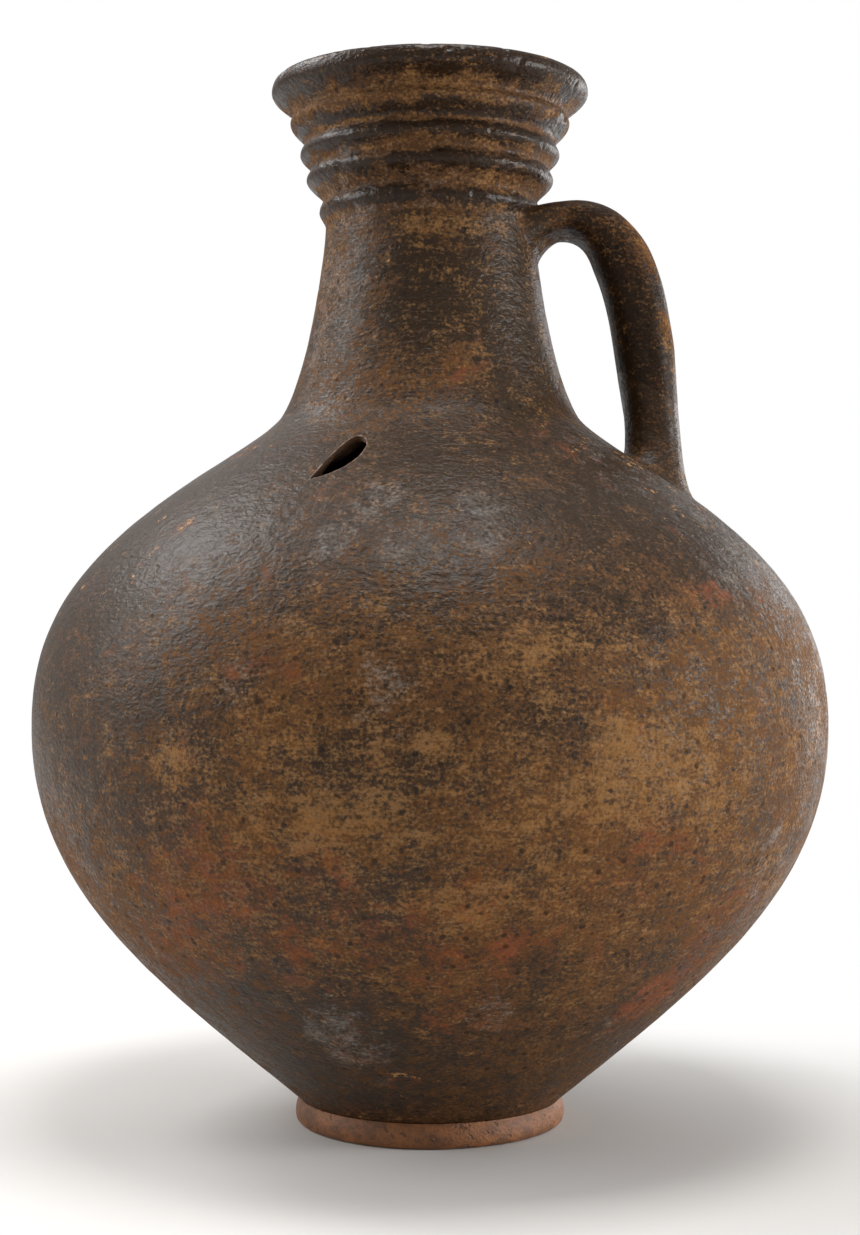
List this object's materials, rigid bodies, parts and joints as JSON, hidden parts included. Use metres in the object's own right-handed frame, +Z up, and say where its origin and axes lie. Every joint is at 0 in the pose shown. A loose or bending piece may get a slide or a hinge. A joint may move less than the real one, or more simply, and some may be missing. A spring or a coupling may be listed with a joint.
{
  "type": "wine jug",
  "caption": "Fired-clay wine jug: turnip-shaped belly on a foot ring, tapering neck, flared ribbed mouth, and a strap handle from neck to shoulder, for storing and pouring wine.",
  "frame": {"origin": "centre of the foot's underside", "axes": "+Z up along the jug's axis, +X towards the handle"},
  "size_m": [0.304, 0.304, 0.4],
  "materials": {
    "burnished_coat": "dark burnished coat, half gloss, worn to brown and ochre on edges",
    "worn_coat": "burnished coat worn to brown, ochre and red, satin",
    "bare_clay": "bare fired clay, matte",
    "inside_clay": "unburnished inside, matte"
  },
  "bodies": {
    "root": {"foot_ring": "bare_clay", "lower_body": "worn_coat", "belly_seam_coil": "inside_clay", "upper_body": "burnished_coat", "neck_seam_coil": "inside_clay", "neck": "worn_coat", "ribbed_collar": "burnished_coat", "handle": "burnished_coat", "handle_upper_luting": "worn_coat", "handle_lower_luting": "worn_coat"}
  },
  "joints": []
}
